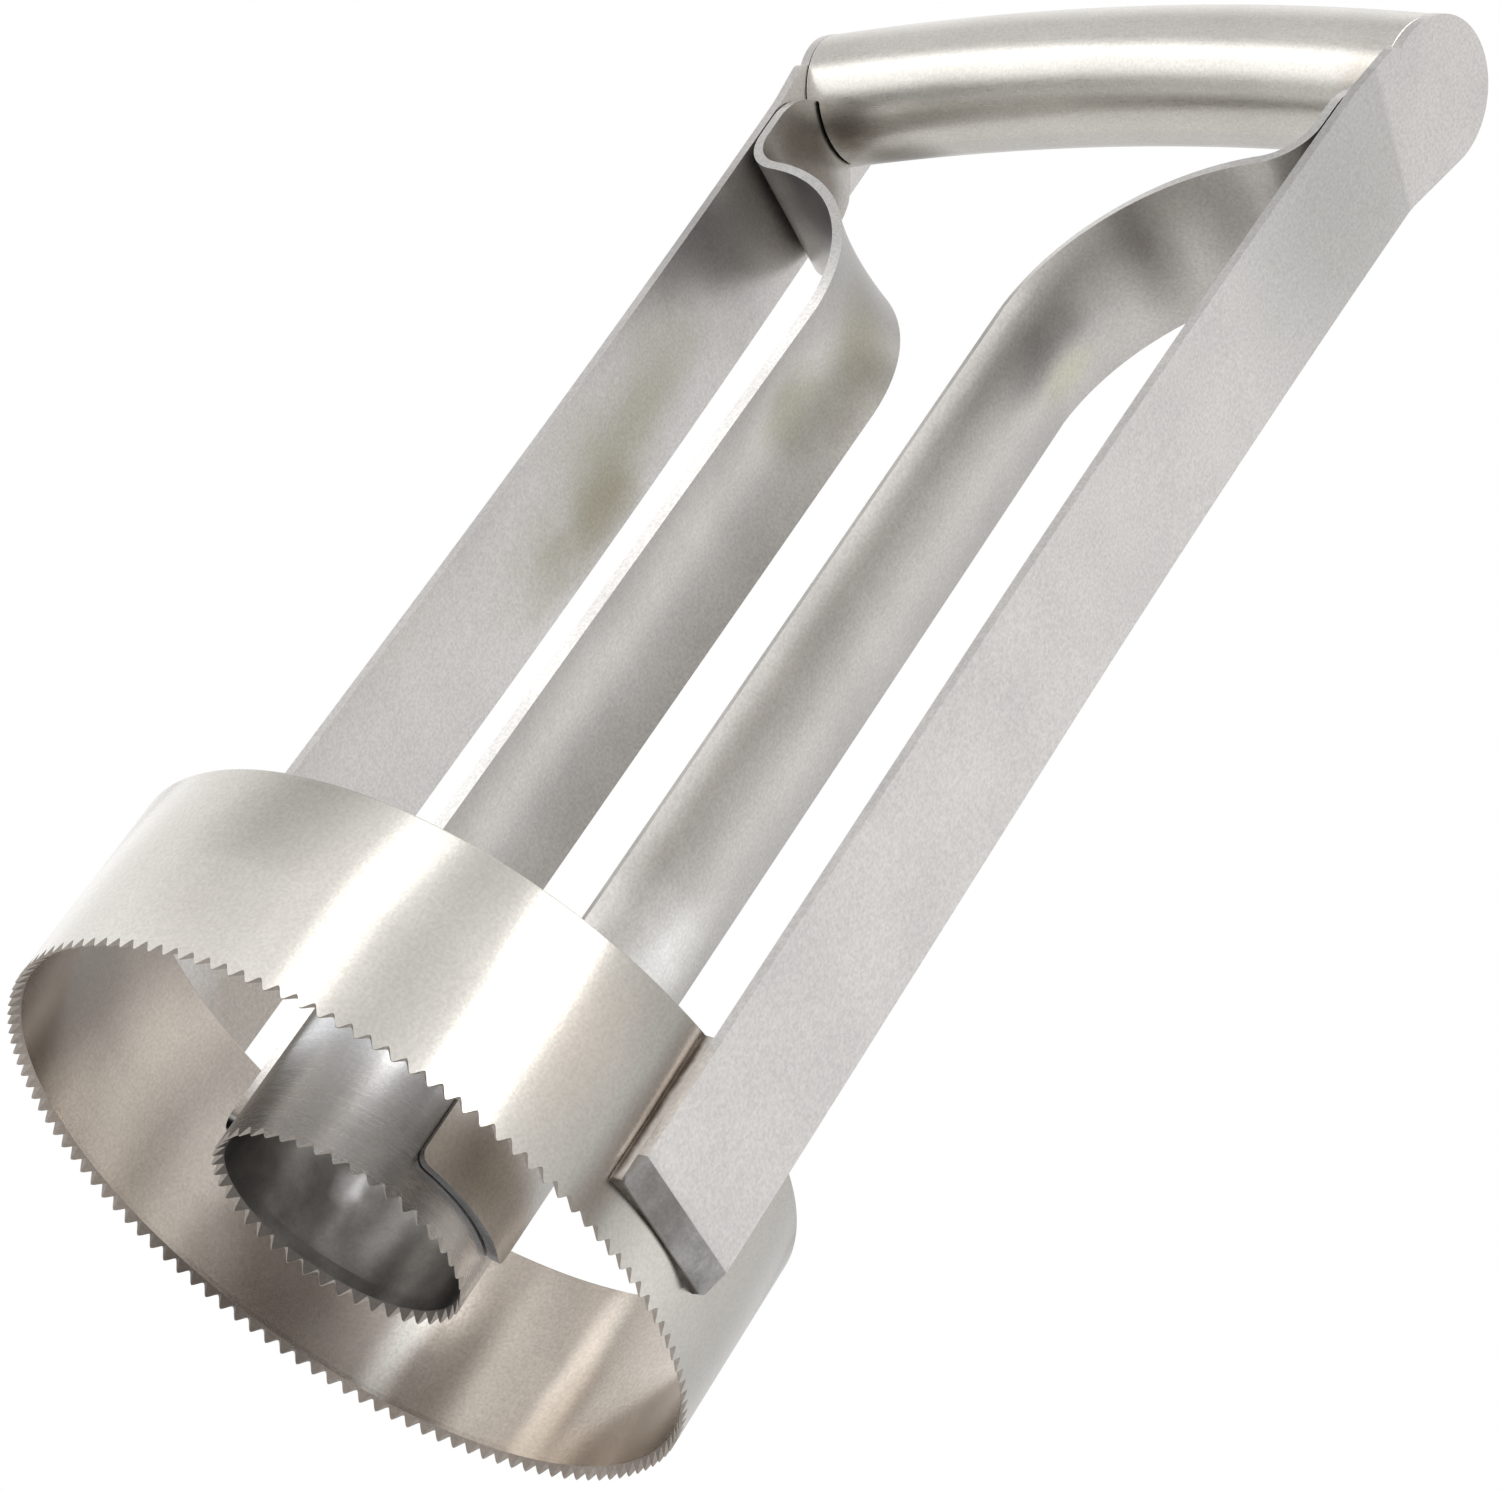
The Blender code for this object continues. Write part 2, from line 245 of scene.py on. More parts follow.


# hair sizes are about three times the real belt marks, so that they show in the render; marks and painted
# light are given in millimetres: heat tint, and painted shade, painted shadow and painted highlights
strapFinish = {
    "colour": "#d8d5d2", "cloudColour": "#d1cecc", "roughness": 0.32, "roughnessSpread": 0.02,
    "hairLength": 12 * mm, "hairWidth": 0.30 * mm, "hairDepth": 0.0010 * mm, "grain": 0.10,
    "sparkleSize": 0.42 * mm, "sparkleDepth": 0.0060 * mm, "cloudSize": 16 * mm, "anisotropy": 0.4,
}
# painted light on the left outer strap's inner face: the olive patches are a painted reflection of the inner
# strap, and the grey patch near the top and the brownish one low down are painted shade
leftStrapFinish = strapFinish | {"marksAndPaintedLight": (
    {"at": (-44, 1, 132), "reach": (8, 12, 38), "colour": "#9f9b87", "share": 0.65},
    {"at": (-44, 6, 119), "reach": (6, 8, 16), "colour": "#948d76", "share": 0.6},
    {"at": (-46, -4, 163), "reach": (8, 18, 18), "colour": "#8c8a89", "share": 0.55},
    {"at": (-44, 6, 34), "reach": (10, 16, 18), "colour": "#aaa198", "share": 0.8},
)}
# painted shade on the right outer strap below its fold to the disc, strongest a little below the fold and
# fading downwards
rightStrapFinish = strapFinish | {
    "cloudSize": 12 * mm,
    "marksAndPaintedLight": ({"at": (47, -3, 171), "reach": (9, 22, 24), "colour": "#a0a19e", "share": 0.36},),
    "paintedShades": ({
        "at": (48, 0, 189.2), "towards": (0, -0.2, -0.98), "start": 1.2, "fade": 50,
        "colour": "#a0a19e", "share": 0.34,
    },),
}
innerFinish = strapFinish | {"colour": "#cdcac6", "cloudColour": "#c2bfbb", "roughness": 0.30}
# the sides of the inner straps that face the axis, and those that face the outer straps
leftAxisFinish = innerFinish | {"marksAndPaintedLight": (
    {"at": (-19, 3, 150), "reach": (9, 10, 14), "colour": "#9c9682", "share": 0.7},
    {"at": (-18, -1, 134), "reach": (5, 8, 10), "colour": "#a09c8c", "share": 0.75},
    {"at": (-42, -4, 183), "reach": (12, 14, 12), "colour": "#6f675e", "share": 0.85},
    {"at": (-42, 6, 178), "reach": (10, 8, 11), "colour": "#857b70", "share": 0.75},
)}
# painted shade under the left inner strap's shoulder, in the gap between it and the outer strap
leftOuterFinish = innerFinish | {"marksAndPaintedLight": (
    {"at": (-33, -4, 166), "reach": (18, 18, 18), "colour": "#5f6064", "share": 0.9},
)}
rightOuterFinish = innerFinish | {"marksAndPaintedLight": (
    {"at": (25, -4, 163), "reach": (6, 15, 6), "colour": "#7d7875", "share": 0.75},
    {"at": (34, -4, 171), "reach": (7, 15, 7), "colour": "#8b8683", "share": 0.6},
    {"at": (42, -1, 174), "reach": (5, 14, 6), "colour": "#625e5c", "share": 0.58},
    {"at": (17.5, -2, 10), "reach": (6, 10, 10), "colour": "#7d7468", "share": 0.66},
    {"at": (18, -2, 145), "reach": (4, 5, 14), "colour": "#6f6c68", "share": 0.7},
    {"at": (20, 4, 146), "reach": (4, 5, 8), "colour": "#bcb996", "share": 0.6},
    # a painted highlight low on the strap, just above the core ring
    {"at": (17, 0, 38), "reach": (8, 14, 22), "colour": "#fbfaf8", "share": 0.9},
)}
# the sheared and tumbled edges of the strip, a little brighter than its faces, with a painted shadow along
# the feet's lower edges
cutEdgeFinish = strapFinish | {
    "colour": "#dddbd8", "cloudColour": "#cfcdca", "roughness": 0.26, "sparkleDepth": 0.002 * mm,
    "marksAndPaintedLight": tuple(
        {"at": (x, 0, 5.0), "reach": (5, 30, 3.0), "colour": "#2f2c29", "share": 0.92} for x in (-17, 17)
    ),
}
# a rolled band brushed finely round its girth: reflections stretch into stripes from edge to edge
ringFinish = strapFinish | {
    "colour": "#cfccc6", "cloudColour": "#c9c5be", "roughness": 0.21, "anisotropy": 0.75,
    "cloudSize": 20 * mm, "hairDepth": 0.0007 * mm, "sparkleDepth": 0.0040 * mm, "grain": 0.07,
    # painted shade on the ring beside the right outer strap's front edge, a darker painted shadow line where
    # the strap meets it, and a lighter brownish patch further round
    "marksAndPaintedLight": (
        {"at": (42.3, -10.5, 14), "reach": (3.5, 4.5, 34), "colour": "#8b7e72", "share": 0.75},
        {"at": (42.4, -10.2, 18.5), "reach": (1.2, 1.0, 15), "colour": "#5f544a", "share": 0.85},
        {"at": (38, -20, 16), "reach": (9, 9, 22), "colour": "#c9bcae", "share": 0.45},
    ),
}
# the inside of the ring was never polished: duller and browner, with light and dark painted stripes on the
# back wall and painted shade at the left
ringInsideFinish = ringFinish | {
    "colour": "#c9c0b6", "cloudColour": "#bbb2a8", "roughness": 0.22, "grain": 0.09, "marksAndPaintedLight": (
        {"at": (-35, 27, 10), "reach": (16, 18, 34), "colour": "#776c62", "share": 0.8},
        {"at": (-39, -22, 10), "reach": (24, 28, 50), "colour": "#7a726b", "share": 0.75},
        {"at": (17, 43, 10), "reach": (10, 8, 40), "colour": "#e2d8ce", "share": 0.3},
        {"at": (-0.7, 45.5, 8), "reach": (3.4, 6, 60), "colour": "#fff6ea", "share": 0.9},
        {"at": (-22, 39, 8), "reach": (3.2, 5, 60), "colour": "#fffaf2", "share": 1.0},
        {"at": (-15, 43, 8), "reach": (4, 5, 60), "colour": "#9a9088", "share": 0.65},
        {"at": (-41, 12, 8), "reach": (5, 8, 60), "colour": "#eee5db", "share": 0.6},
    ),
}
# the same band on the core ring: paler, with painted shade beside the right inner strap, a darker patch at
# the front left, a painted highlight stripe at the front, and duller inside
coreFinish = ringFinish | {"colour": "#e8e9eb", "cloudColour": "#dbdcde", "roughness": 0.26, "marksAndPaintedLight": (
    {"at": (14.2, -8.8, 12), "reach": (8.5, 8.5, 40), "colour": "#57514c", "share": 0.93},
    {"at": (-10, -13, 12), "reach": (7, 7, 40), "colour": "#7d7a77", "share": 0.75},
    {"at": (7, -15, 6), "reach": (2.8, 3, 26), "colour": "#ffffff", "share": 0.7},
)}
# inside the core ring: darker, as painted shade, with a white patch that is a painted reflection of the
# front right soft box
coreInsideFinish = coreFinish | {
    "colour": "#b4b1ae", "cloudColour": "#8f8c89", "roughness": 0.30,
    "cloudSize": 6 * mm, "hairDepth": 0.0003 * mm,
    "marksAndPaintedLight": ({"at": (-12.8, 9, 12), "reach": (2.5, 2.5, 3.5), "colour": "#ffffff", "share": 1.0},),
}
# as ground on a wheel, or punched and left: dark, a little coarse and with little brushing
toothGroundFinish = strapFinish | {
    "colour": "#a39a92", "cloudColour": "#8f867e", "roughness": 0.42,
    "anisotropy": 0.1, "sparkleDepth": 0.006 * mm,
    # painted shade darkens the ground teeth at the back left
    "marksAndPaintedLight": ({"at": (-36, 24, 2), "reach": (16, 26, 9), "colour": "#544d47", "share": 0.85},),
}
footGroundFinish = toothGroundFinish | {
    "colour": "#b2b0af", "cloudColour": "#8b8987", "roughness": 0.34, "cloudSize": 3.5 * mm,
    "marksAndPaintedLight": ({"at": (45, -4, 9), "reach": (8, 8, 8), "colour": "#77716c", "share": 0.55},),
}
toothFlankFinish = toothGroundFinish | {"colour": "#a8a19a", "cloudColour": "#968e87", "roughness": 0.36}
# the core ring's ground teeth: the same ground finish made darker, as painted shade for the shaded middle of
# the slicer
coreGroundFinish = toothGroundFinish | {"colour": "#75706b", "cloudColour": "#625d58", "marksAndPaintedLight": ()}
# weld metal, brushed over beside the strap, with a painted shadow line where it meets the ring and another
# along its foot
weldFinish = strapFinish | {
    "colour": "#cbc7c2", "cloudColour": "#bdb8b2", "roughness": 0.42, "anisotropy": 0.0,
    "cloudSize": 3 * mm, "sparkleDepth": 0.008 * mm, "sparkleSize": 0.7 * mm, "marksAndPaintedLight": tuple(
        {"at": (x, y, 17), "reach": (0.95, 3, 60), "colour": "#5a5046", "share": 0.95}
        for x in (-42.4, 42.4) for y in (-10, 10)
    ) + tuple(
        {"at": (x, 0, 7), "reach": (5, 26, 1.2), "colour": "#3b332c", "share": 0.9} for x in (-42.8, 42.8)
    ),
}
# drawn tube, satin polished along its length: one soft band of light, brown heat tint near the welded ends,
# and painted shade on the left end's underside
tubeFinish = strapFinish | {
    "colour": "#dfdcd6", "cloudColour": "#d8d5cf", "roughness": 0.29, "anisotropy": 0.2,
    "hairLength": 4 * mm, "sparkleDepth": 0.0050 * mm, "grain": 0.08, "marksAndPaintedLight": (
        {"at": (-40, -1, 185), "reach": (15, 12, 9), "colour": "#756b5e", "share": 0.9},
        {"at": (-24, -7, 191), "reach": (9, 5, 6), "colour": "#a0947f", "share": 0.5},
        {"at": (-37, 6, 192), "reach": (11, 8, 8), "colour": "#6f665a", "share": 0.8},
        {"at": (44, -5, 190), "reach": (5, 9, 9), "colour": "#a89c8d", "share": 0.5},
    ),
}


# Toothed rings: punched V teeth along the lower edge, ground to a thin tip from the inside

outerRing = {
    "name": "outerRingShell", "node": "outer_ring", "slot": "ring_steel",
    "finish": ringFinish, "insideFinish": ringInsideFinish, "groundFinish": toothGroundFinish,
    "radiusX": 43.5 * mm, "radiusY": 46.5 * mm, "wall": 1.0 * mm,
    "base": 1.0 * mm, "height": 26.5 * mm, "teeth": 124, "stepsPerTooth": 10,
}
coreRing = {
    "name": "coreRingShell", "node": "core_ring", "slot": "core_steel",
    "finish": coreFinish, "insideFinish": coreInsideFinish, "groundFinish": coreGroundFinish,
    "radiusX": 16.5 * mm, "radiusY": 16.5 * mm, "wall": 0.9 * mm,
    "base": 0.0, "height": 26.5 * mm, "teeth": 44, "stepsPerTooth": 12,
}
teethCut = {
    "depth": 1.25 * mm, "tipThickness": 0.16 * mm, "grindHeight": 1.35 * mm, "sharpness": 0.90,
    "plainFrom": 2.16 * mm, "lipRound": 0.25 * mm, "lipMiddle": 0.075 * mm, "sharpAngle": 24,
}
# how deep in the wall a face's middle lies, as a share: past the outer side, on the inner side, and
# near enough to the ground slope
depthShares = {"pastOuter": 0.03, "inner": 0.6, "slope": 0.9}


def toothHeight(share):
    # 0 at a tip and the full depth at a root, a V with slightly rounded tips and roots
    wave = asin(teethCut["sharpness"] * cos(2 * pi * share)) / asin(teethCut["sharpness"])
    return teethCut["depth"] * (0.5 - 0.5 * wave)


def wallAt(ring, rise):
    # the ground slope inside: thin at the tips, the whole wall above the grinding
    share = min(1.0, rise / teethCut["grindHeight"])
    return teethCut["tipThickness"] + (ring["wall"] - teethCut["tipThickness"]) * share


def makeToothedRing(ring):
    count = ring["teeth"] * ring["stepsPerTooth"]
    teeth = [toothHeight(i / ring["stepsPerTooth"]) for i in range(count)]
    top, wall = ring["height"], ring["wall"]
    ground, plain = teethCut["grindHeight"], teethCut["plainFrom"]
    lip, eased = teethCut["lipRound"], teethCut["lipMiddle"]
    # levels of (inset, rise), up the outside, over the lip and down the inside, between the two tooth edges
    levels = ((0.0, ground), (0.0, plain), (0.0, top / 2), (0.0, top - lip), (eased, top - eased),
              (lip, top), (wall - lip, top), (wall - eased, top - eased), (wall, top - lip),
              (wall, top / 2), (wall, plain), (wall, ground))
    rows = [[(0.0, rise) for rise in teeth]]
    rows += [[level] * count for level in levels]
    rows.append([(wallAt(ring, rise), rise) for rise in teeth])
    bm = bmesh.new()
    made = bmesh.ops.create_circle(bm, segments=count, radius=1.0)
    circle = sorted(made["verts"], key=lambda v: atan2(v.co.y, v.co.x) % (2 * pi))
    angles = [atan2(v.co.y, v.co.x) for v in circle]

    def places(row):
        return [((ring["radiusX"] - inset) * cos(angle), (ring["radiusY"] - inset) * sin(angle),
                 ring["base"] + rise) for (inset, rise), angle in zip(row, angles)]

    for v, place in zip(circle, places(rows[0])):
        v.co = place
    firstEdges = list(bm.edges)
    edges, numbers = firstEdges, {v: i for i, v in enumerate(circle)}
    for row in rows[1:]:
        edges, numbers = extrudeRow(bm, edges, numbers, places(row))
    bmesh.ops.bridge_loops(bm, edges=firstEdges + edges)
    girth = pi * (ring["radiusX"] + ring["radiusY"])

    def turnOf(co):
        return atan2(co.y / ring["radiusY"], co.x / ring["radiusX"])

    def around(co):
        return (turnOf(co) / (2 * pi) * girth, co.z)

    def depthShare(co):
        radius = hypot(ring["radiusX"] * cos(turnOf(co)), ring["radiusY"] * sin(turnOf(co)))
        return (radius - hypot(co.x, co.y)) / wall

    inside, slope, flank = 1, 2, 3  # places in the list of steels below; the outside is 0
    bm.normal_update()
    for face in bm.faces:
        middle = face.calc_center_median()
        share = depthShare(middle)
        rise = middle.z - ring["base"]
        if rise < ground and share > depthShares["pastOuter"]:
            onSlope = share * wall > depthShares["slope"] * wallAt(ring, rise)
            face.material_index = slope if onSlope else flank
        elif share > depthShares["inner"]:
            face.material_index = inside
    steels = [brushedStainless(ring["name"] + "Brushed", ring["finish"]),
              brushedStainless(ring["name"] + "Inside", ring["insideFinish"]),
              brushedStainless(ring["name"] + "Ground", ring["groundFinish"]),
              brushedStainless(ring["name"] + "Flanks", toothFlankFinish)]
    piece = finishPiece(ring["name"], bm, steels, ring["node"], around, girths=(girth, 0.0))
    piece.data.set_sharp_from_angle(angle=radians(teethCut["sharpAngle"]))


makeToothedRing(outerRing)
makeToothedRing(coreRing)
print("toothed rings made")


# The handle: a bent tube, cut square at both ends

tube = {
    "crown": 202.7 * mm, "archRadius": 300 * mm, "halfSpan": 46.1 * mm, "radius": 9.4 * mm,
    "wall": 1.2 * mm, "sides": 96, "steps": 80, "edge": 0.2 * mm, "reach": 1.9 * mm, "notchTurn": 38,
}
endTilt = asin(tube["halfSpan"] / tube["archRadius"])
archCentre = Vector((0, 0, tube["crown"] - tube["archRadius"]))


def aboveMiddle(co):
    # how far a point of the tube lies above the arch of its middle line
    return hypot(co.x, co.z - archCentre.z) - tube["archRadius"]


def freeOfTongue(co):
    # the notch spans notchTurn degrees to each side of the tube's lowest line, less half a facet
    return degrees(atan2(abs(co.y), -aboveMiddle(co))) > tube["notchTurn"] - 180 / tube["sides"]


def makeTube():
    bm = bmesh.new()
    start = Matrix.Translation(archCentre) @ Matrix.Rotation(-endTilt, 4, "Y")
    start = start @ Matrix.Translation((0, 0, tube["archRadius"])) @ Matrix.Rotation(pi / 2, 4, "Y")
    made = bmesh.ops.create_circle(bm, segments=tube["sides"], radius=tube["radius"], matrix=start)
    bmesh.ops.spin(bm, geom=made["verts"] + list(bm.edges), cent=archCentre, axis=(0, 1, 0),
                   angle=2 * endTilt, steps=tube["steps"])

    def around(co):
        bend = atan2(co.x, co.z - archCentre.z)
        return (bend * tube["archRadius"], atan2(co.y, aboveMiddle(co)) * tube["radius"])

    for side in sides.values():  # each end runs on to the disc, apart from the notch that the tongue fills
        rim = [e for e in bm.edges if e.is_boundary
               and all(side * v.co.x > 0 and freeOfTongue(v.co) for v in e.verts)]
        grown = bmesh.ops.extrude_edge_only(bm, edges=rim)["geom"]
        bmesh.ops.translate(bm, verts=[v for v in grown if isinstance(v, bmesh.types.BMVert)],
                            vec=Vector((side * cos(endTilt), 0, -sin(endTilt))) * tube["reach"])
    piece = finishPiece("handleTube", bm, [brushedStainless("handleTubeSatin", tubeFinish)],
                        "handle_tube", around, girths=(0.0, 2 * pi * tube["radius"]))
    wall = piece.modifiers.new("tubeWall", "SOLIDIFY")
    wall.thickness = tube["wall"]
    wall.offset = -1.0
    roundEdges(piece, tube["edge"])


makeTube()
print("handle made")


# Strap sheet: both straps are cut from the same strip and their edges are tumbled round

sheet = {
    "width": 19.8 * mm, "thickness": 1.38 * mm, "gap": 0.3 * mm, "edge": 0.28 * mm,
    "cornerSteps": 6, "cornerEase": 1.2,
}
halfWidth = sheet["width"] / 2

outerStrap = {
    "lapFace": 43.8 * mm, "lapBottom": 7.1 * mm, "lapHeight": 80 * mm, "corner": 0.6 * mm,
    "bevel": 3.7 * mm, "bevelEdge": 0.3 * mm, "bevelMiddle": 2.59 * mm, "creaseHalf": 0.08 * mm,
    "creaseEase": 1.2 * mm, "foldEase": 0.6 * mm, "discRadius": 10.2 * mm, "discSetBack": 0.9 * mm,
    "discToFold": 1.9 * mm, "neckRise": 9.2 * mm, "neckTurn": 1.6 * mm,
    "columns": 10, "legSteps": 44, "discSteps": 40,
}
# rows of points up the straight side under the disc, and round the inside corner where it meets the disc
neckShares = {"straight": (0.1, 0.35, 0.6, 0.85, 1.0), "turn": (0.3, 0.55, 0.75, 0.9)}
discStack = 2 * sheet["gap"] + sheet["thickness"]
tubeEndHeight = tube["crown"] - tube["archRadius"] * (1 - cos(endTilt))
discHeight = tubeEndHeight - discStack * sin(endTilt)
foldHeight = discHeight - (outerStrap["discRadius"] + outerStrap["discToFold"]) * cos(endTilt)
lapTop = outerStrap["lapBottom"] + outerStrap["lapHeight"]


def discFace(height):
    # x of the disc's inner side, which leans with the tube's end
    return tube["halfSpan"] + discStack * cos(endTilt) + (height - discHeight) * tan(endTilt)


flare = discFace(foldHeight) - outerStrap["lapFace"]


def strapFace(height):
    # x of the strap's inner side: upright beside the ring, bowed out to the fold, then the disc
    if height >= foldHeight:
        return discFace(height)
    share = max(0.0, (height - lapTop) / (foldHeight - lapTop))
    return outerStrap["lapFace"] + flare * share ** 2


def strapSlope(height):
    # how fast strapFace moves out with the height
    if height >= foldHeight:
        return tan(endTilt)
    return 2 * flare * max(0.0, height - lapTop) / (foldHeight - lapTop) ** 2


def roundedFoot(bottom, corner):
    # (height, half of the width) up a foot with round corners, with the rows closest at the bottom
    steps = sheet["cornerSteps"]
    turns = [pi / 2 * (i / steps) ** sheet["cornerEase"] for i in range(steps + 1)]
    return [(bottom + corner * (1 - cos(turn)), halfWidth - corner * (1 - sin(turn))) for turn in turns]


def growSheet(rows, side):
    # a row of points across the strip, extruded from row to row; the rows are those of the right side
    placed = [[(side * x, y, z) for x, y, z in row] for row in rows]
    bm = bmesh.new()
    line = [bm.verts.new(place) for place in placed[0]]
    edges = [bm.edges.new(pair) for pair in zip(line, line[1:])]
    numbers = {v: i for i, v in enumerate(line)}
    for row in placed[1:]:
        edges, numbers = extrudeRow(bm, edges, numbers, row)
    return bm


def discRows():
    # (distance above the fold, front y, back y): a straight neck and the round disc in front, and at the
    # back an edge that leaves the disc on a tangent
    radius, setBack = outerStrap["discRadius"], outerStrap["discSetBack"]
    centre = radius + outerStrap["discToFold"]
    overhang = halfWidth - setBack
    tangentTurn = atan(overhang / centre) + acos(radius / hypot(overhang, centre))
    tangentRise = centre - radius * cos(tangentTurn)
    tangentBack = setBack + radius * sin(tangentTurn)
    neckRise, neckTurn = outerStrap["neckRise"], outerStrap["neckTurn"]
    straightRise = neckRise - neckTurn
    notchTurn = acos((centre - neckRise) / radius)
    notchFront = setBack - radius * sin(notchTurn)
    steps = outerStrap["discSteps"]
    lastTurn = pi - pi / (3 * steps)  # just short of the disc's top, where its width would be nothing
    turns = [notchTurn + (lastTurn - notchTurn) * i / steps for i in range(steps + 1)]
    rises = [straightRise * share for share in neckShares["straight"]]
    rises += [straightRise + neckTurn * share for share in neckShares["turn"]]
    rises += [centre - radius * cos(turn) for turn in turns]
    rises.append(tangentRise)
    rows = []
    for rise in sorted(rises):
        turn = acos(max(-1.0, min(1.0, (centre - rise) / radius)))
        if rise < neckRise:
            ease = max(0.0, (rise - straightRise) / neckTurn) ** 2
            front = -halfWidth + (notchFront + halfWidth) * ease
        else:
            front = setBack - radius * sin(turn)
        if rise < tangentRise:
            back = halfWidth + (tangentBack - halfWidth) * rise / tangentRise
        else:
            back = setBack + radius * sin(turn)
        rows.append((rise, front, back))
    return rows


def makeOuterStrap(sideName, side):
    bottom = outerStrap["lapBottom"]
    crease = bottom + outerStrap["bevel"]
    steps, columns = outerStrap["legSteps"], outerStrap["columns"]
    heights = [bottom + outerStrap["bevelMiddle"], crease - outerStrap["creaseHalf"],
               crease + outerStrap["creaseHalf"], crease + outerStrap["creaseEase"]]
    heights += [crease + (foldHeight - crease) * i / steps for i in range(1, steps)]
    heights.append(foldHeight - outerStrap["foldEase"])
    outline = [(height, -half, half) for height, half in roundedFoot(bottom, outerStrap["corner"])]
    outline += [(height, -halfWidth, halfWidth) for height in heights]
    outline += [(foldHeight + rise * cos(endTilt), front, back) for rise, front, back in discRows()]
    rows = [[(strapFace(height), front + (back - front) * i / columns, height) for i in range(columns + 1)]
            for height, front, back in outline]
    bm = growSheet(rows, side)
    for face in bm.faces:  # the ground foot below the crease
        if face.calc_center_median().z < crease:
            face.material_index = 1
    steels = [strapSteels[sideName], footSteel]
    piece = finishPiece(f"outerStrap{sideName}Sheet", bm, steels,
                        f"outer_strap_{sideName.lower()}", lambda co: (co.z, co.y))
    outwards = piece.data.polygons[len(piece.data.polygons) // 2].normal.x * side
    thick = piece.vertex_groups.new(name="thickness")  # the foot is ground thin towards its lower edge
    for v in piece.data.vertices:
        share = min(1.0, max(0.0, (v.co.z - bottom) / outerStrap["bevel"]))
        thick.add([v.index], share, "REPLACE")
    wall = piece.modifiers.new("sheet", "SOLIDIFY")
    wall.thickness = sheet["thickness"]
    wall.offset = 1.0 if outwards > 0 else -1.0
    wall.vertex_group = "thickness"
    wall.thickness_vertex_group = outerStrap["bevelEdge"] / sheet["thickness"]
    roundEdges(piece, sheet["edge"])


strapSteels = {"Left": brushedStainless("outerStrapLeftBrushed", leftStrapFinish),
               "Right": brushedStainless("outerStrapRightBrushed", rightStrapFinish)}
footSteel = brushedStainless("strapFootGround", footGroundFinish)
for sideName, side in sides.items():
    makeOuterStrap(sideName, side)
print("outer straps made")


# Weld metal that fills the wedge between each flat strap and the round ring wall

lapWeld = {
    "halfWidth": 9.72 * mm, "toe": 9.95 * mm, "footInset": 0.2 * mm, "topInset": 0.15 * mm,
    "inStrap": 0.05 * mm, "inRing": 0.2 * mm, "steps": 6, "sharpAngle": 20,
}


def makeLapWeld(sideName, side):
    def ringFace(y):
        return outerRing["radiusX"] * sqrt(1 - (y / outerRing["radiusY"]) ** 2)

    half, toe, steps = lapWeld["halfWidth"], lapWeld["toe"], lapWeld["steps"]
    backYs = [toe * i / steps for i in range(steps, 0, -1)]
    outline = [(outerStrap["lapFace"] + lapWeld["inStrap"], half), (ringFace(toe), toe)]
    outline += [(ringFace(y) - lapWeld["inRing"], y) for y in backYs]
    outline += [(x, -y) for x, y in reversed(outline)]
    foot = outerStrap["lapBottom"] + lapWeld["footInset"]
    top = outerRing["base"] + outerRing["height"] - lapWeld["topInset"]
    bm = bmesh.new()
    base = bm.faces.new([bm.verts.new((side * x, y, foot)) for x, y in outline])
    grown = bmesh.ops.extrude_face_region(bm, geom=[base])["geom"]
    bmesh.ops.translate(bm, verts=[v for v in grown if isinstance(v, bmesh.types.BMVert)],
                        vec=(0, 0, top - foot))
    piece = finishPiece(f"lapWeld{sideName}", bm, [weldMetal], None,
                        lambda co: (co.z + co.x, co.y))
    piece.data.set_sharp_from_angle(angle=radians(lapWeld["sharpAngle"]))


weldMetal = brushedStainless("weldMetal", weldFinish)
for sideName, side in sides.items():
    makeLapWeld(sideName, side)
print("welds made")


# Inner straps: pressed to a trough against the core ring, bent out over a shoulder and up the outer strap

innerStrap = {
    "foot": 5.4 * mm, "corner": 1.6 * mm, "troughFade": 20 * mm, "troughKept": 0.8,
    "shoulderHeight": 145 * mm, "shoulderRadius": 29 * mm, "kneeRadius": 7 * mm, "shoulderSlope": 14,
    "tongueOverlap": 3.5 * mm, "footRows": (10 * mm, 18 * mm), "columns": 14, "fadeSteps": 8,
    "legSteps": 24, "shoulderSteps": 30, "kneeSteps": 16, "lapSteps": 6, "tongueSteps": 24,
    "settleRounds": 12,
}
innerRadius = coreRing["radiusX"] + sheet["gap"] + sheet["thickness"] / 2  # to the middle of the sheet
tongueCentre = tubeEndHeight - tube["radius"] + innerStrap["tongueOverlap"] - halfWidth


def besideStrap(height):
    # x, z and tilt of the sheet's middle where it lies against the outer strap
    tilt = atan(strapSlope(height))
    offset = sheet["gap"] + sheet["thickness"] / 2
    return strapFace(height) - offset * cos(tilt), height + offset * sin(tilt), tilt


